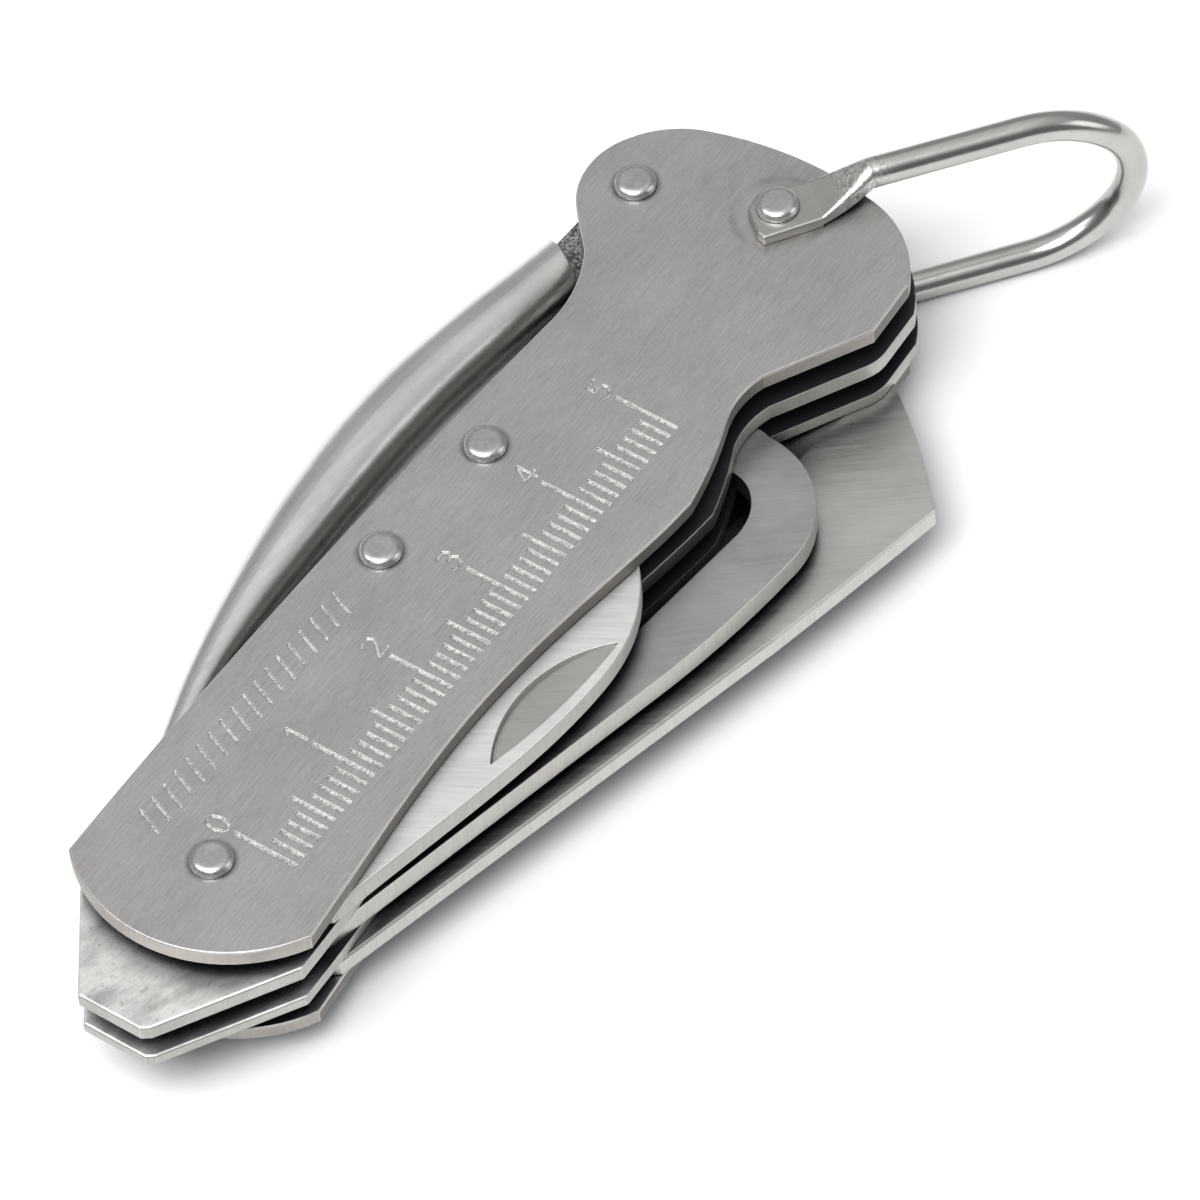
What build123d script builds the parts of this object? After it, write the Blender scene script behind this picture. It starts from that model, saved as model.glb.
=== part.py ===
from build123d import *
import math
import os

# Folding rigging knife, all stainless steel.  Working frame, in mm:
#   X runs along the handle from the driver end (-X) to the bail end (+X),
#   Y points to the marlinspike's side, and the tools fold out through -Y,
#   Z = 0 is the middle of the stack of plates, and +Z is the engraved front side.
# X = 0, Y = 0 is the lower end of the ruler's zero mark.
# At the end every piece is moved so that the row's origin is the middle of the bounding box's base.

# ---- the stack of plates, front to back -------------------------------------------------------
FRONT_SCALE_T = 1.5
OPENER_GAP = 1.95
FRONT_LINER_T = 1.45
KEY_GAP = 2.2
REAR_LINER_T = 1.1
BLADE_GAP = 1.7
BACK_SCALE_T = 1.3
TOOL_CLEARANCE = 0.07            # between a tool's face and the plate beside it

FRONT_Z = (FRONT_SCALE_T + OPENER_GAP + FRONT_LINER_T + KEY_GAP
           + REAR_LINER_T + BLADE_GAP + BACK_SCALE_T) / 2
OPENER_TOP = FRONT_Z - FRONT_SCALE_T
FRONT_LINER_TOP = OPENER_TOP - OPENER_GAP
KEY_TOP = FRONT_LINER_TOP - FRONT_LINER_T
REAR_LINER_TOP = KEY_TOP - KEY_GAP
BLADE_TOP = REAR_LINER_TOP - REAR_LINER_T
BACK_SCALE_TOP = BLADE_TOP - BLADE_GAP

# ---- rivets -----------------------------------------------------------------------------------
TOOL_PIVOT = (-3.0, 5.7)
SPRING_RIVET_A = (27.85, 12.4)
SPRING_RIVET_B = (40.7, 11.7)
SPIKE_PIVOT = (68.8, 17.2)
BAIL_PIVOT = (72.2, 5.74)
RIVET_R = 1.2
FIXED_HOLE_R = 1.22
RUNNING_HOLE_R = 1.25
HEAD_R = 1.76
HEAD_H = 0.76
HEAD_FLAT_R = 1.1
COLLAR_R = 2.6

# ---- handle plates ----------------------------------------------------------------------------
TOP_LEFT = (-7.9, 15.6)
LINER_TOP_LEFT = (-7.1, 15.55)
WAIST_TOP = (53.0, 14.85)
LOBE_CORNER = (66.2, -7.4)
LINER_RISE = -0.35                # a liner's lobe stands a little below the front scale's
BACK_RISE = 0.4                   # and the back scale's lower edge a little above it
LINER_LOBE_R = 3.5
DRIVER_X = -16.6                 # the ground tip of each liner, a flat screwdriver
DRIVER_TOP_Y = 8.6
DRIVER_LOW_Y = 2.5
DRIVER_ROUND = 0.25              # the worn rims of the driver ends

# ---- engraved ruler ---------------------------------------------------------------------------
RULER_MM = 50
TICK_W = 0.36
TICK_DEPTH = 0.12
TICK_MM, TICK_5MM, TICK_10MM = 3.0, 4.15, 5.94
DIGIT_H, DIGIT_W, DIGIT_Y, DIGIT_STROKE = 1.9, 1.35, 6.45, 0.27
BAND_X0, BAND_PITCH, BAND_COUNT, BAND_Y, BAND_H = -2.6, 1.45, 18, 10.75, 2.3

# ---- tools ------------------------------------------------------------------------------------
HEEL = (-1.0, -3.9)              # the corner of a tool's tang on its outer edge
KEY_HEEL = (-1.0, -3.1)
TANG_R = 4.4
BLADE_CORNER = (59.1, -17.6)
BLADE_TIP = (71.8, -1.9)
BLADE_CHOIL = (10.0, 3.9)
BLADE_BEVEL_W = 5.0
EDGE_T = 0.16
SPINE_CHAMFER = 0.2
EDGE_BREAK = 0.12                # chamfer round the outlines of the scales and the opener
OPENER_NICK_DEPTH = 0.75

# ---- marlinspike: stations along its centre line (x, y) with its radius there ------------------
SPIKE = [((1.5, 16.85), 0.45), ((10.0, 18.83), 1.25), ((20.0, 21.0), 2.03), ((30.0, 22.1), 2.83),
         ((40.0, 22.58), 3.2), ((50.0, 21.94), 3.1), ((57.0, 20.93), 2.85), ((64.5, 19.64), 2.75)]
SHOULDER = ((61.2, 18.0), (63.1, 21.65))
SPIKE_TANG_R = 4.3

# ---- bail -------------------------------------------------------------------------------------
WIRE_R = 1.25
BAIL_ANGLE = -38.2
BAIL_HALF = 7.55                 # from the middle plane to a leg's centre line
BAIL_STRAIGHT = 20.2             # from the pivot to where the bow starts
BAIL_TIP = 29.3                  # from the pivot to the bow's centre line
BOW_END_R = 6.4
PAD_T = 0.9
PAD_GAP = 0.05
PAD_END, PAD_LOW, PAD_HIGH = -2.3, -2.75, 1.9
NECK_START, NECK_BEND, NECK_END = 3.0, 5.3, 7.6
PAD_ROUND = 0.25


def slab(face, top, thickness):
    """A flat plate cut to a face's outline, with its upper side at height top."""
    return Pos(0, 0, top - thickness) * extrude(face, thickness)


def eased(plate):
    """Break the sharp corners round both sides of a plate's outline."""
    faces = plate.faces().sort_by(Axis.Z)
    rims = faces[0].outer_wire().edges() + faces[-1].outer_wire().edges()
    return chamfer(rims, EDGE_BREAK)


def disc(centre, radius):
    return Pos(*centre) * Circle(radius)


def lobe_outline(waist_x, rise):
    """The plate's edge from the spike's hollow round the bail end to the tools' waist."""
    hollow = ThreePointArc(WAIST_TOP, (57.5, 15.15), (61.2, 16.8))
    flank = Line(hollow @ 1, (64.0, 19.45))
    crown = ThreePointArc(flank @ 1, (68.5, 21.6), (72.65, 20.5))
    shoulder = ThreePointArc(crown @ 1, (75.1, 18.3), (76.6, 15.3))
    end = ThreePointArc(shoulder @ 1, (77.97, 7.4), (77.5, 1.0 + rise))
    heel = ThreePointArc(end @ 1, (75.7, -3.7 + rise), (71.6, -7.05 + rise))
    sole = Line(heel @ 1, (LOBE_CORNER[0], LOBE_CORNER[1] + rise))
    rear = Line(sole @ 1, (57.85, -2.7 + rise))
    arch = ThreePointArc(rear @ 1, (55.4, -2.3 + rise), (53.0, -2.7 + rise))
    waist = ThreePointArc(arch @ 1, (waist_x / 2 + 26.0, -4.3 + rise), (waist_x, -5.15 + rise))
    return [hollow, flank, crown, shoulder, end, heel, sole, rear, arch, waist]


def scale_face(rise=0.0):
    """An outer plate: straight top, round driver end and a waisted lower edge."""
    top = ThreePointArc(TOP_LEFT, (22.0, 16.0), WAIST_TOP)
    edges = lobe_outline(44.5, rise)
    start = edges[-1] @ 1
    low_left = (-4.7, -4.85 + rise)
    lower = Spline(start, (35.0, -4.15 + rise), (20.0, -2.8 + rise), low_left,
                   tangents=[(-1, 0.03), (-1, -0.1)])
    end = ThreePointArc(low_left, (-11.4, 6.9), TOP_LEFT)
    return make_face([top] + edges + [lower, end])


def liner_face():
    """An inner plate: as a scale, but its driver end tapers to a flat screwdriver tip."""
    top = ThreePointArc(LINER_TOP_LEFT, (22.0, 16.0), WAIST_TOP)
    edges = lobe_outline(46.6, LINER_RISE)
    start = edges[-1] @ 1
    low_left = (-5.7, -4.2)
    lower = Spline(start, (35.0, -4.15), (20.0, -2.9), low_left, tangents=[(-1, 0.05), (-1, -0.03)])
    tip = Polyline(low_left, (DRIVER_X + 0.5, DRIVER_LOW_Y - 0.4), (DRIVER_X, DRIVER_LOW_Y + 0.3),
                   (DRIVER_X, DRIVER_TOP_Y), LINER_TOP_LEFT)
    face = make_face([top] + edges + [lower, tip])
    corner = face.vertices().sort_by_distance((LOBE_CORNER[0], LOBE_CORNER[1] + LINER_RISE, 0))[0]
    return fillet(corner, LINER_LOBE_R)


def drilled(face):
    """Cut all five rivet holes through a plate's face."""
    for centre in (TOOL_PIVOT, SPRING_RIVET_A, SPRING_RIVET_B, SPIKE_PIVOT, BAIL_PIVOT):
        face -= disc(centre, FIXED_HOLE_R)
    return face


def stroke(start, end, width):
    """A straight engraved stroke with round ends."""
    dx, dy = end[0] - start[0], end[1] - start[1]
    length = math.hypot(dx, dy)
    middle = ((start[0] + end[0]) / 2, (start[1] + end[1]) / 2)
    bar = SlotCenterToCenter(length, width)
    return Pos(*middle) * Rot(0, 0, math.degrees(math.atan2(dy, dx))) * bar


# Each digit as open chains of points in a box one unit wide and one unit high.
DIGITS = [
    [[(0.5, 1), (0.22, 0.9), (0.08, 0.6), (0.08, 0.4), (0.22, 0.1), (0.5, 0), (0.78, 0.1), (0.92, 0.4),
      (0.92, 0.6), (0.78, 0.9), (0.5, 1)]],
    [[(0.25, 0.75), (0.55, 1), (0.55, 0)]],
    [[(0.1, 0.78), (0.25, 0.95), (0.5, 1), (0.78, 0.93), (0.88, 0.72), (0.75, 0.5), (0.1, 0),
      (0.92, 0)]],
    [[(0.1, 0.9), (0.35, 1), (0.7, 0.97), (0.88, 0.77), (0.7, 0.57), (0.4, 0.53)],
     [(0.7, 0.57), (0.92, 0.32), (0.75, 0.06), (0.4, 0), (0.08, 0.1)]],
    [[(0.7, 0), (0.7, 1), (0.1, 0.3), (1, 0.3)]],
    [[(0.85, 1), (0.2, 1), (0.14, 0.56), (0.5, 0.64), (0.82, 0.52), (0.9, 0.3), (0.75, 0.07),
      (0.4, 0), (0.08, 0.1)]],
]


def ruler_marks():
    """The centimetre ruler, its digits and a plain twisted-rope band, as one flat pattern."""
    marks = []
    for mm in range(RULER_MM + 1):
        length = TICK_10MM if mm % 10 == 0 else TICK_5MM if mm % 5 == 0 else TICK_MM
        marks.append(Pos(mm, length / 2) * Rectangle(TICK_W, length))
    for number, chains in enumerate(DIGITS):
        left = number * 10 - DIGIT_W / 2
        for chain in chains:
            points = [(left + x * DIGIT_W, DIGIT_Y + y * DIGIT_H) for x, y in chain]
            marks += [stroke(a, b, DIGIT_STROKE) for a, b in zip(points, points[1:])]
    for i in range(BAND_COUNT):
        x = BAND_X0 + i * BAND_PITCH
        marks.append(stroke((x - 0.45, BAND_Y), (x + 0.45, BAND_Y + BAND_H), DIGIT_STROKE))
    return marks


def front_scale():
    plate = eased(slab(drilled(scale_face()), FRONT_Z, FRONT_SCALE_T))
    cutters = [slab(mark, FRONT_Z + 1, 1 + TICK_DEPTH) for mark in ruler_marks()]
    return plate - cutters


def back_scale():
    return eased(slab(drilled(scale_face(rise=BACK_RISE)), BACK_SCALE_TOP, BACK_SCALE_T))


def liner(top, thickness):
    plate = slab(drilled(liner_face()), top, thickness)
    levels = plate.edges().group_by(Axis.Z)
    return fillet([e for e in levels[0] + levels[-1] if e.center().X < -8], DRIVER_ROUND)


def tang(blade_face):
    """Round the tool's pivot end and drill it for a running fit."""
    return blade_face + disc(TOOL_PIVOT, TANG_R) - disc(TOOL_PIVOT, RUNNING_HOLE_R)


def tang_left(heel):
    """Where the straight line from the heel touches the tang's round end."""
    dx, dy = heel[0] - TOOL_PIVOT[0], heel[1] - TOOL_PIVOT[1]
    turn = math.atan2(dy, dx) - math.acos(TANG_R / math.hypot(dx, dy))
    return (TOOL_PIVOT[0] + TANG_R * math.cos(turn), TOOL_PIVOT[1] + TANG_R * math.sin(turn))


def tang_top():
    return (TOOL_PIVOT[0], TOOL_PIVOT[1] + TANG_R)


def edge_wedge(start, end, top, thickness, width):
    """The metal that grinding takes off one side of a straight cutting edge."""
    dx, dy = end[0] - start[0], end[1] - start[1]
    length = math.hypot(dx, dy)
    along = Vector(dx / length, dy / length, 0)
    inward = Vector(-along.Y, along.X, 0)
    depth = (thickness - EDGE_T) / 2
    wedges = []
    for face_z, side in ((top, -1), (top - thickness, 1)):
        corner = Vector(start[0], start[1], face_z)
        section = Polyline(corner + inward * width, corner - inward * 2,
                           corner - inward * 2 + Vector(0, 0, side * depth * (1 + 2 / width)),
                           close=True)
        wedges.append(extrude(make_face(section), length, dir=along))
    return wedges


def main_blade():
    """Sheepfoot blade; closed, its thick back faces out and its edge is in the handle."""
    top = BLADE_TOP - TOOL_CLEARANCE
    thickness = BLADE_GAP - 2 * TOOL_CLEARANCE
    back_edge = Line(HEEL, (42.0, -14.2))
    spine = ThreePointArc(back_edge @ 1, (51.0, -16.05), BLADE_CORNER)
    end = ThreePointArc(spine @ 1, (65.6, -10.85), BLADE_TIP)
    edge = Line(end @ 1, BLADE_CHOIL)
    choil = ThreePointArc(edge @ 1, (8.6, 4.9), (7.2, 4.3))
    neck = Line(choil @ 1, tang_top())
    back = Polyline(tang_top(), tang_left(HEEL), HEEL)
    blade = slab(tang(make_face([back_edge, spine, end, edge, choil, neck, back])), top, thickness)
    for wedge in edge_wedge(BLADE_TIP, BLADE_CHOIL, top, thickness, BLADE_BEVEL_W):
        blade -= wedge
    outer = [e for e in blade.edges()
             if e.center().Z > top - 0.01 and e.length > 15 and e.center().Y < -8.5 and e.center().X < 60]
    return chamfer(outer, SPINE_CHAMFER)


def shackle_key():
    """Hooked bar: a shackle key and bottle opener, with its open notch towards the spring."""
    top = KEY_TOP - TOOL_CLEARANCE
    outer = Line(KEY_HEEL, (33.1, -10.65))
    belly = ThreePointArc(outer @ 1, (40.2, -11.85), (46.7, -12.45))
    nose_low = ThreePointArc(belly @ 1, (53.5, -10.3), (56.3, -4.0))
    nose = ThreePointArc(nose_low @ 1, (55.4, 0.3), (53.1, 1.6))
    nose_tip = ThreePointArc(nose @ 1, (51.8, 0.7), (51.9, -0.8))
    throat = Line(nose_tip @ 1, (51.9, -3.2))
    bend = Spline(throat @ 1, (50.6, -6.2), (47.0, -7.45), tangents=[(0, -1), (-1, 0)])
    notch = Line(bend @ 1, (33.3, -6.2))
    rise = Spline(notch @ 1, (27.5, -3.0), (25.0, 1.2), tangents=[notch % 1, (-0.3, 1)])
    inner = Polyline(rise @ 1, (8.0, 4.2), tang_top(), tang_left(KEY_HEEL), KEY_HEEL)
    face = make_face([outer, belly, nose_low, nose, nose_tip, throat, bend, notch, rise, inner])
    return slab(tang(face), top, KEY_GAP - 2 * TOOL_CLEARANCE)


def tin_opener():
    """Short round-nosed tin opener with a thumbnail nick; its working edge is in the handle."""
    top = OPENER_TOP - TOOL_CLEARANCE
    thickness = OPENER_GAP - 2 * TOOL_CLEARANCE
    spine = Spline(HEEL, (15.9, -7.2), (27.5, -8.4), tangents=[(1, -0.17), (1, 0)])
    nose = Spline(spine @ 1, (35.2, -6.7), (40.1, -2.2), tangents=[(1, 0), (0.6, 1)])
    beak = Polyline(nose @ 1, (40.9, 1.6), (37.0, 1.0))
    edge = ThreePointArc(beak @ 1, (26.0, -0.6), (14.0, 3.0))
    notch = Polyline(edge @ 1, (12.0, 1.4), (9.4, 4.0), tang_top(), tang_left(HEEL), HEEL)
    opener = eased(slab(tang(make_face([spine, nose, beak, edge, notch])), top, thickness))
    brow = ThreePointArc((16.5, -6.0), (23.1, -3.95), (31.3, -7.5))
    lid = ThreePointArc(brow @ 1, (24.2, -7.35), brow @ 0)
    nick = extrude(make_face([brow, lid]), 2 * OPENER_NICK_DEPTH)
    sink = Pos(23.2, -5.4, top - OPENER_NICK_DEPTH * 0.55) * Rot(-8, 0, 0)
    floor = sink * Pos(0, 0, 5) * Box(40, 20, 10)
    return opener - ((Pos(0, 0, top - OPENER_NICK_DEPTH) * nick) & floor)


def spring_base(right):
    """A back spring's anchor and its arm to the tools; right closes its other end."""
    upper = ThreePointArc((-4.9, 15.3), (22.0, 15.75), (53.0, 14.6))
    toe = Polyline((-4.9, 15.3), (-0.8, 10.35), (2.6, 10.35))
    arm = Spline(toe @ 1, (9.0, 12.0), (20.0, 11.0), (25.0, 9.4), tangents=[(1, 0.3), (1, -0.1)])
    sole = Line(arm @ 1, (43.5, 8.7))
    face = make_face([upper, toe, arm, sole] + right(sole @ 1, upper @ 1))
    return face - disc(SPRING_RIVET_A, FIXED_HOLE_R) - disc(SPRING_RIVET_B, FIXED_HOLE_R)


def single_spring(top, thickness):
    """A spring for one tool; its far end is a fixed eye on the spike's rivet."""
    def right(low, high):
        under = Spline(low, (54.0, 10.6), (64.8, 15.2), tangents=[(1, 0.05), (1, 0.6)])
        return [under, Polyline(under @ 1, (66.0, 20.5), (61.0, 15.6), high)]
    face = spring_base(right) + disc(SPIKE_PIVOT, 3.9) - disc(SPIKE_PIVOT, FIXED_HOLE_R)
    return slab(face, top, thickness)


def double_spring():
    """The middle spring: one end bears on the shackle key, the other on the marlinspike."""
    def right(low, high):
        under = Spline(low, (54.0, 9.4), (66.0, 9.6), tangents=[(1, 0.05), (1, 0.1)])
        toe = Polyline(under @ 1, (69.4, 10.2), (69.4, 12.6), (62.0, 12.6))
        return [under, toe, Spline(toe @ 1, (58.0, 12.9), high, tangents=[(-1, 0), (-1, 0.4)])]
    return slab(spring_base(right), KEY_TOP, KEY_GAP)


def marlinspike():
    """Curved, tapering round spike with a flat tang between the two liners."""
    middle = KEY_TOP - KEY_GAP / 2
    path = Spline([(x, y, middle) for (x, y), _ in SPIKE])
    sections = []
    for (x, y), radius in SPIKE:
        at = path.param_at_point(Vector(x, y, middle))
        plane = Plane(origin=(x, y, middle), z_dir=path % at, x_dir=(0, 0, 1))
        sections.append(plane * Circle(radius))
    body = loft(sections)
    tip, tip_r = SPIKE[0]
    body += Pos(tip[0], tip[1], middle) * Sphere(tip_r)
    (x0, y0), (x1, y1) = SHOULDER
    lean = math.degrees(math.atan2(y1 - y0, x1 - x0)) - 90
    body -= Pos(x0, y0, middle) * Rot(0, 0, lean) * Pos(10, 0, 0) * Box(20, 20, 10)
    outline = Polyline((58.0, 19.2), (60.0, 18.3), (64.0, 15.2), SPIKE_PIVOT, (68.6, 21.5),
                       (64.0, 21.7), (60.0, 22.0), close=True)
    plate = make_face(outline) + disc(SPIKE_PIVOT, SPIKE_TANG_R)
    body += slab(plate, KEY_TOP - TOOL_CLEARANCE, KEY_GAP - 2 * TOOL_CLEARANCE)
    return body - Pos(*SPIKE_PIVOT) * Cylinder(RUNNING_HOLE_R, 20)


def rivet(centre, seat):
    """A solid rivet with a low flat-topped head on each side; seat is a head's underside."""
    profile = Polyline((0, 0), (RIVET_R, 0), (RIVET_R, seat), (HEAD_R, seat),
                       (HEAD_R, seat + 0.12))
    dome = ThreePointArc(profile @ 1, (1.58, seat + 0.54), (HEAD_FLAT_R, seat + HEAD_H))
    cap = Polyline(dome @ 1, (0, seat + HEAD_H), (0, 0))
    half = revolve(Plane.XZ * make_face([profile, dome, cap]), Axis.Z)
    return Pos(*centre) * (half + half.mirror(Plane.XY))


def collar(top, thickness):
    return slab(disc(BAIL_PIVOT, COLLAR_R) - disc(BAIL_PIVOT, FIXED_HOLE_R), top, thickness)


def bail_bow():
    """The wire's centre line in its own plane: u from the pivot, w across the handle."""
    reach = BAIL_TIP - BAIL_STRAIGHT - BOW_END_R
    side_r = (reach ** 2 + BAIL_HALF ** 2 - BOW_END_R ** 2) / (2 * (BAIL_HALF - BOW_END_R))
    turn = math.asin(reach / (side_r - BOW_END_R))
    halfway = turn / 2
    join = (BAIL_STRAIGHT + side_r * math.sin(turn), BAIL_HALF - side_r * (1 - math.cos(turn)))
    bulge = (BAIL_STRAIGHT + side_r * math.sin(halfway),
             BAIL_HALF - side_r * (1 - math.cos(halfway)))
    leg = Line((NECK_END, BAIL_HALF), (BAIL_STRAIGHT, BAIL_HALF))
    side = ThreePointArc(leg @ 1, bulge, join)
    end = ThreePointArc(join, (BAIL_TIP, 0), (join[0], -join[1]))
    other_side = ThreePointArc(end @ 1, (bulge[0], -bulge[1]), (BAIL_STRAIGHT, -BAIL_HALF))
    other_leg = Line(other_side @ 1, (NECK_END, -BAIL_HALF))
    return Wire([leg, side, end, other_side, other_leg])


def bail_pad():
    """One flattened end of the wire, drilled for the rivet, with its neck up to the wire."""
    low = FRONT_Z + PAD_GAP
    outline = Polyline((PAD_END, PAD_LOW + 0.7), (PAD_END + 0.3, PAD_LOW), (NECK_START, PAD_LOW + 0.3),
                       (NECK_START, PAD_HIGH - 0.1), (PAD_END + 1.2, PAD_HIGH),
                       (PAD_END, PAD_HIGH - 1.2), close=True)
    pad = Pos(0, 0, low) * extrude(make_face(outline), PAD_T)
    rim = [e for e in pad.edges().group_by(Axis.Z)[-1] if e.center().X < NECK_START - 0.1]
    pad = fillet(rim, PAD_ROUND)
    width = PAD_HIGH - PAD_LOW - 0.4
    middle = (PAD_HIGH + PAD_LOW + 0.2) / 2
    sections = []
    for x, y, z, wide, high, corner in (
            (NECK_START, middle, low + PAD_T / 2, width, PAD_T, 0.3),
            (NECK_BEND, middle / 2, low + 1.0, (width + 2 * WIRE_R) / 2, 1.75, 0.6),
            (NECK_END, 0, BAIL_HALF, 2 * WIRE_R, 2 * WIRE_R, WIRE_R - 0.02)):
        plane = Plane((x, y, z), x_dir=(0, 1, 0), z_dir=(1, 0, 0))
        sections.append(plane * RectangleRounded(wide, high, corner))
    return pad + loft(sections) - Cylinder(RUNNING_HOLE_R, 4 * FRONT_Z)


def lanyard_bail():
    """One bent wire whose flattened ends turn on the bail rivet, outside both scales."""
    bow = Plane.XZ * bail_bow()
    start = Plane(bow @ 0, z_dir=bow % 0)
    wire = sweep(start * Circle(WIRE_R), path=bow)
    pad = bail_pad()
    bail = wire + pad + pad.mirror(Plane.XY)
    return Pos(*BAIL_PIVOT) * Rot(0, 0, BAIL_ANGLE) * bail


def build():
    seat = FRONT_Z
    bail_seat = FRONT_Z + PAD_T + 2 * PAD_GAP
    parts = {
        "front_scale": front_scale(),
        "front_liner": liner(FRONT_LINER_TOP, FRONT_LINER_T),
        "rear_liner": liner(REAR_LINER_TOP, REAR_LINER_T),
        "back_scale": back_scale(),
        "opener_spring": single_spring(OPENER_TOP, OPENER_GAP),
        "key_and_spike_spring": double_spring(),
        "blade_spring": single_spring(BLADE_TOP, BLADE_GAP),
        "tool_pivot_rivet": rivet(TOOL_PIVOT, seat),
        "spring_rivet_a": rivet(SPRING_RIVET_A, seat),
        "spring_rivet_b": rivet(SPRING_RIVET_B, seat),
        "spike_pivot_rivet": rivet(SPIKE_PIVOT, seat),
        "bail_rivet": rivet(BAIL_PIVOT, bail_seat),
        "front_bail_collar": collar(OPENER_TOP, OPENER_GAP),
        "middle_bail_collar": collar(KEY_TOP, KEY_GAP),
        "rear_bail_collar": collar(BLADE_TOP, BLADE_GAP),
        "tin_opener": tin_opener(),
        "shackle_key": shackle_key(),
        "main_blade": main_blade(),
        "marlinspike": marlinspike(),
        "lanyard_bail": lanyard_bail(),
    }
    box = Compound(children=[Compound(p.wrapped) for p in parts.values()]).bounding_box()
    origin = ((box.min.X + box.max.X) / 2, (box.min.Y + box.max.Y) / 2, box.min.Z)
    return {name: Pos(*[-v for v in origin]) * part for name, part in parts.items()}, origin


if __name__ == "__main__":
    os.makedirs("parts", exist_ok=True)
    pieces, base = build()
    for node, piece in pieces.items():
        export_step(piece, f"parts/{node}.step")
    print("row origin in the working frame:", [round(v, 4) for v in base])
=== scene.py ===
import math

import bpy
from mathutils import Matrix, Vector


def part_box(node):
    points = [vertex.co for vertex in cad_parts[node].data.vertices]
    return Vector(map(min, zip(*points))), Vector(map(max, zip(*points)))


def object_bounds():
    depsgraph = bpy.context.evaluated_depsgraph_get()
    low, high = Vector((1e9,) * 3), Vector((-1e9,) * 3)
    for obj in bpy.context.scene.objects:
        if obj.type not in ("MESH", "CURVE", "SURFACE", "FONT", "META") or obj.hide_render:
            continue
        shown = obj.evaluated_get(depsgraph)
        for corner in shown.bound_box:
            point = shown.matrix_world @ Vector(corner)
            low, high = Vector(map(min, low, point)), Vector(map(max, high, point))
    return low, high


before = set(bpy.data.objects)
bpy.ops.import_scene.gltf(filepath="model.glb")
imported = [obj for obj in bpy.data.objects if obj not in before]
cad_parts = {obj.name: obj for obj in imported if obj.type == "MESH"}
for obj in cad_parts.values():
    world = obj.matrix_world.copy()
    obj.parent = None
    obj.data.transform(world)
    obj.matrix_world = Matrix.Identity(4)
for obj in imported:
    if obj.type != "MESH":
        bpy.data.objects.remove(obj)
cad_box = [list(corner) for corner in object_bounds()]
MM = 0.001

# ---- places on the knife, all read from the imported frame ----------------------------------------


def middle(node):
    low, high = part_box(node)
    return (low + high) / 2


TOOL_PIVOT = middle("tool_pivot_rivet")
BAIL_PIVOT = middle("bail_rivet")
RIVETS = [TOOL_PIVOT, middle("spike_pivot_rivet"), BAIL_PIVOT, middle("spring_rivet_a"),
          middle("spring_rivet_b")]
FRONT_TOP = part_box("front_scale")[1].z
OPENER_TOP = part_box("tin_opener")[1].z
TANG_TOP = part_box("key_and_spike_spring")[1].z

# ---- values that several materials share --------------------------------------------------------

GAP_SHADE = (0.035, 0.03, 0.034, 1)          # the unlit depth of the gaps
# painted shade: near black for the liners' faces inside the handle
LINER_INSIDE_SHADE = (0.07, 0.066, 0.068, 1)
PLATE_EDGE_HIGHLIGHT = (0.84, 0.83, 0.81, 1)     # painted highlight: brighter colour along sharp edges
# The same painted edge highlight, for tools and for round pieces.
TOOL_EDGE_HIGHLIGHT = (0.88, 0.87, 0.85, 1)
ROUND_EDGE_HIGHLIGHT = (0.88, 0.87, 0.86, 1)
NICK_FLOOR = (0.5, 0.495, 0.48, 1)
# Engraving floors: lighter engraved metal, with random bright cells that are painted glints.
GROOVE_DULL = (0.5, 0.49, 0.48, 1)
GROOVE_BRIGHT = (1.0, 1.0, 0.98, 1)
GAP_REACH = 9 * MM                      # how far a point looks round itself for a gap's walls
SIDE_LIFT = 0.22                        # spares the plates' edges from the painted gap shade
PLATE_GAP = (0.39, 0.54)                # openness at which the painted gap shade is full, and at which it is gone
RIVET_GAP = (0.46, 0.6)
ROUND_GAP = (0.1, 0.32)

# ---- shader building ----------------------------------------------------------------------------


def add_node(tree, kind, values=(), **settings):
    """A shader node. Each of values goes to the input of that key: sockets are linked, others set."""
    node = tree.nodes.new("ShaderNode" + kind)
    for name, value in settings.items():
        setattr(node, name, value)
    for key, value in dict(values).items():
        if isinstance(value, bpy.types.NodeSocket):
            tree.links.new(value, node.inputs[key])
        else:
            node.inputs[key].default_value = value
    return node


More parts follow.
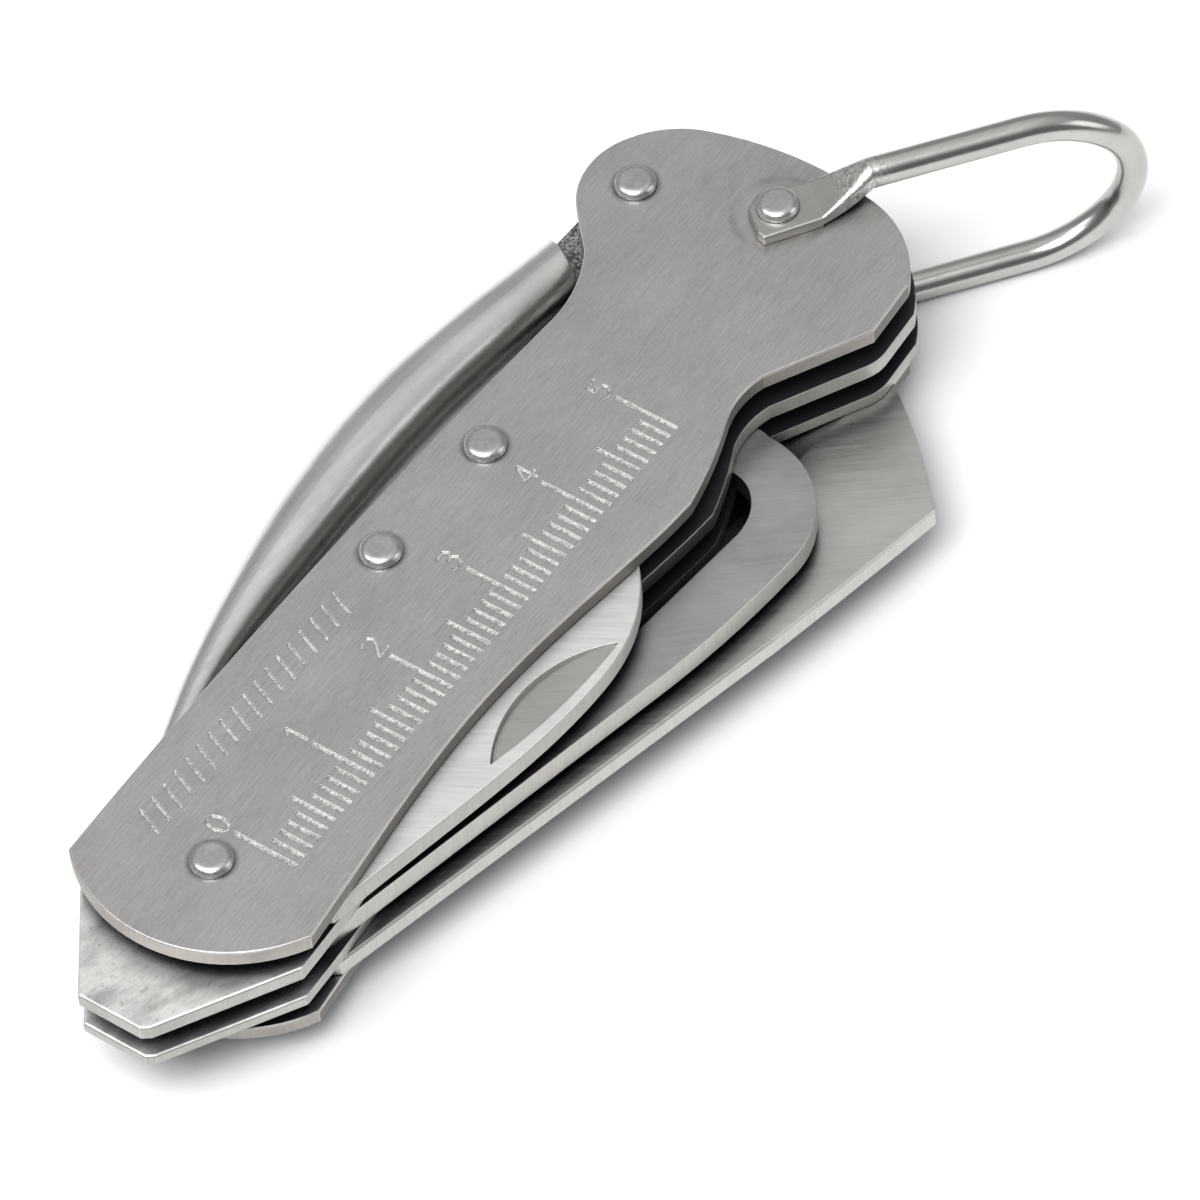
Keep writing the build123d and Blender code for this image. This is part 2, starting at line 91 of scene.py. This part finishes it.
class Graph:
    """One material's node tree. Each method adds nodes and returns an output socket."""

    def __init__(self, name):
        self.material = bpy.data.materials.new(name)
        self.material.use_nodes = True
        self.tree = self.material.node_tree
        self.tree.nodes.clear()
        self.place = self.node("TexCoord").outputs["Object"]
        self.normal = self.node("NewGeometry").outputs["True Normal"]

    def node(self, kind, values=(), **settings):
        return add_node(self.tree, kind, values, **settings)

    def math(self, operation, *values):
        return self.node("Math", enumerate(values), operation=operation).outputs[0]

    def plus(self, a, b):
        return self.math("ADD", a, b)

    def times(self, a, b):
        return self.math("MULTIPLY", a, b)

    def inverse(self, value):
        return self.math("SUBTRACT", 1.0, value)

    def above(self, value, limit):
        return self.math("GREATER_THAN", value, limit)

    def below(self, value, limit):
        return self.math("LESS_THAN", value, limit)

    def vector(self, operation, a, b):
        node = self.node("VectorMath", {0: a, 1: b}, operation=operation)
        return node.outputs["Value" if operation in ("DISTANCE", "DOT_PRODUCT") else "Vector"]

    def split(self, vector, axis):
        return self.node("SeparateXYZ", {0: vector}).outputs[axis]

    def ramp(self, value, start, end, low=0.0, high=1.0):
        values = {"Value": value, "From Min": start, "From Max": end, "To Min": low, "To Max": high}
        return self.node("MapRange", values).outputs[0]

    def vary(self, noise, low, high):
        """Noise spread over low to high; nearly all of it lies between 0.3 and 0.7."""
        return self.ramp(noise, 0.3, 0.7, low, high)

    def mix(self, amount, a, b):
        return self.node("Mix", {0: amount, 6: a, 7: b}, data_type="RGBA").outputs[2]

    def shade(self, colour, factor):
        grey = self.node("CombineColor", {0: factor, 1: factor, 2: factor}).outputs[0]
        node = self.node("Mix", {0: 1.0, 6: colour, 7: grey}, data_type="RGBA", blend_type="MULTIPLY")
        return node.outputs[2]

    def noise(self, stretch, detail=3.0, turn=0.0):
        """Noise with its own scale, per metre, along each axis; turn is about Z, in degrees."""
        place = self.place
        if turn:
            values = {"Vector": place, "Angle": math.radians(turn)}
            place = self.node("VectorRotate", values, rotation_type="Z_AXIS").outputs[0]
        place = self.vector("MULTIPLY", place, stretch)
        values = {"Vector": place, "Scale": 1.0, "Detail": detail, "Roughness": 0.55}
        return self.node("TexNoise", values).outputs[0]

    def cells(self, scale):
        return self.node("TexVoronoi", {"Vector": self.place, "Scale": scale}, feature="F1").outputs

    def from_axis(self, centre):
        """Distance from the vertical axis through centre."""
        flat = self.vector("MULTIPLY", self.place, (1, 1, 0))
        return self.vector("DISTANCE", flat, (centre.x, centre.y, 0))

    def flatness(self):
        """1 on faces that lie along the handle's plates, 0 on their edges."""
        up = self.math("ABSOLUTE", self.split(self.normal, 2))
        return self.ramp(up, 0.55, 0.8)

    def edges(self, radius, soft=0.97):
        """The rounded normal near sharp edges, and how strongly a point is on one."""
        rounded = self.node("Bevel", {"Radius": radius}, samples=6).outputs[0]
        alike = self.vector("DOT_PRODUCT", rounded, self.normal)
        return rounded, self.ramp(alike, soft, 0.9995, 1.0, 0.0)

    def bump(self, heights, normal):
        """Layered bumps: (height socket, strength, distance in metres)."""
        for height, strength, distance in heights:
            values = {"Height": height, "Strength": strength, "Distance": distance, "Normal": normal}
            normal = self.node("Bump", values).outputs[0]
        return normal

    def openness(self, limits, lift=0.0):
        """From 0 in deep gaps to 1 in the open, the mask for the painted gap shade; lift spares a face
        from it.
        """
        seen = self.node("AmbientOcclusion", {"Distance": GAP_REACH}, samples=8).outputs["AO"]
        return self.ramp(self.plus(seen, lift), *limits)

    def plate_openness(self, flat):
        return self.openness(PLATE_GAP, self.times(self.inverse(flat), SIDE_LIFT))

    def paint_gap_shade(self, open_part, base):
        """Painted gap shade: near black where open_part is 0, and base where it is 1."""
        return self.mix(open_part, GAP_SHADE, base)

    def finish(self, colour, rough, normal):
        values = {"Base Color": colour, "Metallic": 1.0, "Roughness": rough, "Normal": normal}
        shader = self.node("BsdfPrincipled", values)
        self.tree.links.new(shader.outputs[0], self.node("OutputMaterial").inputs[0])
        return self.material

    def rivet_contact_shade(self):
        """Painted contact shade in a ring round each rivet head."""
        nearest = self.from_axis(RIVETS[0])
        for centre in RIVETS[1:]:
            nearest = self.math("MINIMUM", nearest, self.from_axis(centre))
        return self.ramp(nearest, 1.78 * MM, 2.2 * MM, 0.5, 1.0)

    def bail_wear(self, cloud):
        """Faint arcs and stains where the bail's foot has swept round its rivet."""
        gap = self.from_axis(BAIL_PIVOT)
        patch = self.noise((420, 420, 420), 3)
        near = self.math("ABSOLUTE", self.math("SUBTRACT", gap, 3.7 * MM))
        arc = self.times(self.ramp(near, 0.08 * MM, 0.5 * MM, 0.2, 0.0), self.ramp(patch, 0.4, 0.6))
        stain = self.times(self.ramp(gap, 4 * MM, 10 * MM, 0.22, 0.0), self.ramp(cloud, 0.45, 0.62))
        return self.math("SUBTRACT", self.inverse(arc), stain)


# ---- materials ----------------------------------------------------------------------------------


def engraved_floor(g):
    """1 on the floors of the front scale's engraving, 0 elsewhere."""
    z = g.split(g.place, 2)
    low = g.ramp(z, FRONT_TOP - 0.05 * MM, FRONT_TOP - 0.02 * MM, 1.0, 0.0)
    near = g.above(z, FRONT_TOP - 0.3 * MM)
    up = g.above(g.split(g.normal, 2), 0.9)
    return g.times(g.times(low, near), up)


def plate_steel(name, colour, edge_colour, rough, turn=0.0, grain=0.5, engraved=False, mottle=0.5,
                edge_rough=0.42, pitted=0.0):
    """A ground plate: long fine grain on its faces, sheared edges with cross striations."""
    g = Graph(name)
    flat = g.flatness()
    fine = g.noise((420, 9500, 900), 4, turn)
    broad = g.noise((90, 2600, 300), 3, turn + 2)
    cloud = g.noise((90, 140, 140), 4, turn)
    grainy = g.plus(g.times(fine, 0.85), g.times(broad, 0.15))
    speck = g.noise((2200, 5200, 900), 2)
    tone = g.plus(g.vary(grainy, 1 - 0.2 * grain, 1 + 0.14 * grain), g.vary(speck, -0.05, 0.05))
    tone = g.times(tone, g.vary(cloud, 1 - 0.16 * mottle, 1 + 0.08 * mottle))
    if pitted:
        pits = g.noise((2100, 2600, 2600), 4)
        blotch = g.noise((170, 360, 340), 5, 25)
        tone = g.times(tone, g.ramp(pits, 0.3, 0.4, 1 - 0.35 * pitted, 1.0))
        tone = g.times(tone, g.ramp(blotch, 0.36, 0.54, 1 - 0.4 * pitted, 1.06))
    # the face's tone, with painted contact shade in a ring round each rivet
    face = g.shade((*colour, 1), g.times(tone, g.rivet_contact_shade()))
    cuts = g.noise((3600, 3600, 300), 3)
    stains = g.noise((260, 260, 500), 4)
    worn = g.times(g.vary(cuts, 0.93, 1.03), g.ramp(stains, 0.35, 0.65, 0.86, 1.04))
    side = g.shade((*edge_colour, 1), worn)
    if engraved:
        # Painted shade: side faces turned towards -Y are darkened to half.
        shaded_side = g.ramp(g.times(g.split(g.normal, 1), -1.0), 0.86, 1.0, 1.0, 0.5)
        side = g.shade(side, shaded_side)
    if pitted:
        # Painted shade: past the tool pivot the liner's faces, between the scales, turn near black.
        inside = g.ramp(g.split(g.place, 0), TOOL_PIVOT.x - 2 * MM, TOOL_PIVOT.x + 1 * MM)
        face = g.mix(inside, face, LINER_INSIDE_SHADE)
    base = g.mix(flat, side, face)
    rounded, edge = g.edges(0.12 * MM)
    # painted highlight: lighter colour along sharp edges
    base = g.mix(g.times(edge, 0.5), base, PLATE_EDGE_HIGHLIGHT)
    open_part = g.plate_openness(flat)
    # painted shade: near black deep in the gaps between the plates
    base = g.paint_gap_shade(open_part, base)
    satin = g.vary(grainy, rough - 0.03, rough + 0.04)
    roughness = g.plus(g.times(flat, satin), g.times(g.inverse(flat), edge_rough))
    roughness = g.plus(roughness, g.ramp(open_part, 0.0, 1.0, 0.25, 0.0))
    sheared = g.times(cuts, g.inverse(flat))
    heights = [(grainy, 0.16 * grain, 0.012 * MM), (sheared, 0.14, 0.02 * MM)]
    if pitted:
        heights.append((pits, 0.25 * pitted, 0.04 * MM))
    if engraved:
        sunk = engraved_floor(g)
        spark = g.split(g.cells(4600.0)["Color"], 0)
        base = g.shade(base, g.bail_wear(cloud))
        # engraving floors: lighter engraved metal, with random bright cells as painted glints
        base = g.mix(sunk, base, g.mix(g.ramp(spark, 0.1, 0.95), GROOVE_DULL, GROOVE_BRIGHT))
        heights.append((g.times(spark, sunk), 0.35, 0.015 * MM))
    return g.finish(base, roughness, g.bump(heights, rounded))


def tool_steel(name, colour, edge_colour, rough, turn, scratches=0.5, cloudy=0.5, bevel=0.12,
               grain=1.0, nicked=False):
    """A ground tool: satin, with a diagonal grind, loose scratches and cloudy patches."""
    g = Graph(name)
    flat = g.flatness()
    grind = g.noise((260, 5200, 900), 4, turn)
    scratch = g.noise((260, 9000, 400), 2, turn + 17)
    stray = g.noise((220, 7500, 400), 2, turn - 38)
    cloud = g.noise((150, 150, 150), 5)
    lines = g.math("MAXIMUM", g.ramp(scratch, 0.66, 0.74), g.ramp(stray, 0.68, 0.76))
    tone = g.vary(grind, 1 - 0.07 * grain, 1 + 0.05 * grain)
    tone = g.times(tone, g.vary(cloud, 1 - 0.2 * cloudy, 1 + 0.1 * cloudy))
    tone = g.plus(tone, g.times(lines, 0.22 * scratches))
    face = g.shade((*colour, 1), tone)
    cuts = g.noise((3400, 3400, 300), 3)
    side = g.shade((*edge_colour, 1), g.vary(cuts, 0.92, 1.04))
    base = g.mix(flat, side, face)
    rounded, edge = g.edges(bevel * MM)
    # painted highlight: lighter colour along sharp edges
    base = g.mix(g.times(edge, 0.5), base, TOOL_EDGE_HIGHLIGHT)
    if nicked:
        low = g.below(g.split(g.place, 2), OPENER_TOP - 0.05 * MM)
        facing = g.above(g.split(g.normal, 2), 0.5)
        base = g.mix(g.times(low, facing), base, g.shade(NICK_FLOOR, tone))
    # painted shade: near black deep in the gaps between the plates
    base = g.paint_gap_shade(g.plate_openness(flat), base)
    roughness = g.plus(g.vary(grind, rough - 0.04, rough + 0.05), g.times(lines, -0.08))
    heights = [(grind, 0.13 * grain, 0.012 * MM), (lines, -0.3 * scratches, 0.01 * MM),
               (cuts, 0.1, 0.012 * MM)]
    return g.finish(base, roughness, g.bump(heights, rounded))


def tumbled_steel(name, colour, rough, pits=0.5, streak=0.3, rough_tang=False, hammered=False):
    """A rounded or tumbled piece: soft dents, pits, and streaks along the handle."""
    g = Graph(name)
    dents = g.noise((420, 700, 700), 3)
    grit = g.noise((5200, 5200, 5200), 3)
    run = g.noise((90, 2600, 2600), 3, 8)
    cloud = g.noise((160, 160, 160), 4)
    tone = g.vary(cloud, 0.9, 1.05)
    tone = g.times(tone, g.vary(run, 1 - 0.3 * streak, 1 + 0.2 * streak))
    tone = g.times(tone, g.ramp(grit, 0.3, 0.42, 1 - 0.5 * pits, 1.0))
    base = g.shade((*colour, 1), tone)
    rounded, edge = g.edges(0.16 * MM)
    # painted highlight: lighter colour along sharp edges
    base = g.mix(g.times(edge, 0.4), base, ROUND_EDGE_HIGHLIGHT)
    roughness = g.vary(grit, rough + 0.05, rough - 0.03)
    heights = [(dents, 0.12, 0.05 * MM), (grit, 0.16 * pits, 0.012 * MM),
               (run, 0.16 * streak, 0.012 * MM)]
    if rough_tang:
        level = g.math("ABSOLUTE", g.math("SUBTRACT", g.split(g.place, 2), TANG_TOP - 0.07 * MM))
        up = g.above(g.split(g.normal, 2), 0.98)
        tang = g.times(g.below(level, 0.06 * MM), up)
        grain = g.noise((4600, 4600, 4600), 3)
        rough_face = g.mix(g.ramp(grain, 0.4, 0.62), (0.1, 0.1, 0.1, 1), (0.5, 0.5, 0.49, 1))
        base = g.mix(tang, base, rough_face)
        roughness = g.plus(roughness, g.times(tang, 0.2))
        heights.append((g.times(grain, tang), 0.6, 0.08 * MM))
    if hammered:
        near = g.from_axis(BAIL_PIVOT)
        foot = g.ramp(near, 7.5 * MM, 9.5 * MM, 1.0, 0.0)
        neck = g.times(foot, g.ramp(near, 4.0 * MM, 5.5 * MM))
        pad = g.math("SUBTRACT", foot, neck)
        facets = g.cells(1700.0)["Distance"]
        glints = g.noise((3400, 3400, 3400), 3)
        worked = g.shade((0.62, 0.62, 0.6, 1), g.ramp(glints, 0.35, 0.7, 0.5, 1.4))
        base = g.mix(g.times(neck, 0.8), base, worked)
        base = g.mix(g.times(pad, 0.6), base, (0.46, 0.45, 0.43, 1))
        roughness = g.plus(roughness, g.times(foot, 0.14))
        heights.append((g.times(facets, neck), 0.25, 0.1 * MM))
    # painted shade: near black deep in the gaps round the piece
    base = g.paint_gap_shade(g.openness(ROUND_GAP), base)
    return g.finish(base, roughness, g.bump(heights, rounded))


def rivet_steel(name):
    """Peened heads: duller flats, fine marks and a few dings on the dome."""
    g = Graph(name)
    marks = g.noise((2600, 2600, 2600), 4)
    dings = g.noise((900, 900, 900), 3)
    tone = g.times(g.vary(marks, 0.9, 1.06), g.vary(dings, 0.92, 1.06))
    colour = g.mix(g.flatness(), (0.7, 0.695, 0.685, 1), (0.56, 0.553, 0.545, 1))
    # painted shade: near black in the gaps round the heads
    base = g.paint_gap_shade(g.openness(RIVET_GAP), g.shade(colour, tone))
    rounded = g.edges(0.25 * MM, 0.9)[0]
    roughness = g.vary(marks, 0.24, 0.36)
    heights = [(dings, 0.1, 0.04 * MM), (marks, 0.06, 0.012 * MM)]
    return g.finish(base, roughness, g.bump(heights, rounded))


SCALE = plate_steel("scale_steel", (0.57, 0.555, 0.547), (0.4, 0.38, 0.355), 0.36, grain=0.85,
                    engraved=True, mottle=0.6, edge_rough=0.5)
LINER = plate_steel("liner_steel", (0.86, 0.851, 0.838), (0.46, 0.45, 0.43), 0.5, turn=12,
                    mottle=0.8, edge_rough=0.4, pitted=0.8)
# The springs' very dark colour is painted shade for the gaps between the plates.
SPRING = plate_steel("spring_steel", (0.24, 0.235, 0.225), (0.2, 0.195, 0.185), 0.4, turn=5)
OPENER = tool_steel("opener_steel", (0.77, 0.763, 0.753), (0.5, 0.492, 0.47), 0.62, 60,
                    scratches=0.2, cloudy=0.25, grain=0.8, nicked=True)
KEY = tool_steel("key_steel", (0.515, 0.503, 0.497), (0.52, 0.508, 0.485), 0.38, 48, cloudy=0.8)
BLADE = tool_steel("blade_steel", (0.67, 0.658, 0.642), (0.55, 0.54, 0.52), 0.34, 52,
                   scratches=0.7, cloudy=0.6, bevel=0.1)
SPIKE = tumbled_steel("spike_steel", (0.74, 0.732, 0.72), 0.3, pits=0.2, streak=0.25, rough_tang=True)
WIRE = tumbled_steel("wire_steel", (0.53, 0.52, 0.505), 0.22, pits=0.1, streak=0.12, hammered=True)
RIVET = rivet_steel("rivet_steel")

LOOKS = {
    SCALE: ["front_scale", "back_scale"],
    LINER: ["front_liner", "rear_liner"],
    SPRING: ["opener_spring", "key_and_spike_spring", "blade_spring"],
    RIVET: ["tool_pivot_rivet", "spring_rivet_a", "spring_rivet_b", "spike_pivot_rivet", "bail_rivet",
            "front_bail_collar", "middle_bail_collar", "rear_bail_collar"],
    OPENER: ["tin_opener"],
    KEY: ["shackle_key"],
    BLADE: ["main_blade"],
    SPIKE: ["marlinspike"],
    WIRE: ["lanyard_bail"],
}
for material, nodes in LOOKS.items():
    for node in nodes:
        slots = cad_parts[node].data.materials
        slots.clear()
        slots.append(material)

# ---- floor --------------------------------------------------------------------------------------

bpy.ops.mesh.primitive_plane_add(size=4.0, location=(0, 0, cad_box[0][2]))
floor = bpy.context.object
floor.name = "floor"
paper = Graph("paper")
fibre = paper.noise((900, 900, 900), 3)
tint = paper.shade((0.97, 0.97, 0.97, 1), paper.vary(fibre, 0.99, 1.01))
matte = paper.node("BsdfPrincipled", {"Base Color": tint, "Roughness": 0.9})
paper.tree.links.new(matte.outputs[0], paper.node("OutputMaterial").inputs[0])
floor.data.materials.append(paper.material)

# ---- camera -------------------------------------------------------------------------------------

# Its three axes, and its place relative to the tools' pivot on the front face.
RIGHT = Vector((0.5761, -0.8142, -0.0720))
DOWN = Vector((-0.6656, -0.4161, -0.6195))
FORWARD = Vector((0.4744, 0.4049, -0.7817))
EYE = Vector((-302.791, -299.479, 558.10)) * MM

camera = bpy.data.objects.new("camera", bpy.data.cameras.new("camera"))
bpy.context.scene.collection.objects.link(camera)
anchor = Vector((TOOL_PIVOT.x, TOOL_PIVOT.y, FRONT_TOP))
axes = Matrix((RIGHT, -DOWN, -FORWARD)).transposed().to_4x4()
camera.matrix_world = Matrix.Translation(anchor + EYE) @ axes
camera.data.sensor_width = 36.0
camera.data.lens = 279.8
camera.data.clip_start = 0.01
camera.data.clip_end = 10.0
camera.data.dof.use_dof = False
bpy.context.scene.camera = camera

# ---- sky and lamps ------------------------------------------------------------------------------

HORIZON_NEAR, HORIZON_FAR, ZENITH = 0.16, 0.42, 0.95    # how bright the sky is

world = bpy.data.worlds.new("studio")
bpy.context.scene.world = world
world.use_nodes = True
sky = world.node_tree
background = sky.nodes["Background"]
background.inputs["Color"].default_value = (1.0, 0.995, 0.985, 1)

# The sky brightens overhead; its horizon is dark behind the camera and lighter on the far side.
far_side = Vector((FORWARD.x, FORWARD.y, 0)).normalized()
direction = add_node(sky, "TexCoord").outputs["Generated"]
far = add_node(sky, "VectorMath", {0: direction, 1: far_side}, operation="DOT_PRODUCT").outputs["Value"]
up = add_node(sky, "SeparateXYZ", {0: direction}).outputs[2]
horizon = add_node(sky, "MapRange", {"Value": far, "From Min": -0.6, "From Max": 0.9,
                                     "To Min": HORIZON_NEAR, "To Max": HORIZON_FAR})
rise = add_node(sky, "MapRange", {"Value": up, "From Min": 0.6, "From Max": 1.0})
level = add_node(sky, "Mix", {0: rise.outputs[0], 2: horizon.outputs[0], 3: ZENITH}, data_type="FLOAT")
sky.links.new(level.outputs[0], background.inputs["Strength"])


def softbox(name, offset, size, power):
    """A square lamp that faces the knife; offset is from the middle of the handle, in metres."""
    lamp = bpy.data.objects.new(name, bpy.data.lights.new(name, "AREA"))
    bpy.context.scene.collection.objects.link(lamp)
    lamp.data.size = size
    lamp.data.energy = power
    lamp.location = Vector(offset)
    lamp.rotation_euler = (-Vector(offset)).to_track_quat("-Z", "Y").to_euler()


softbox("overhead", (-0.46, -0.12, 0.88), 0.6, 8.0)
softbox("key_light", (-0.45, 0.45, 0.75), 0.4, 2.0)
softbox("side_light", (0.45, -0.75, 0.42), 0.45, 1.0)

bpy.context.scene.view_settings.view_transform = "Standard"
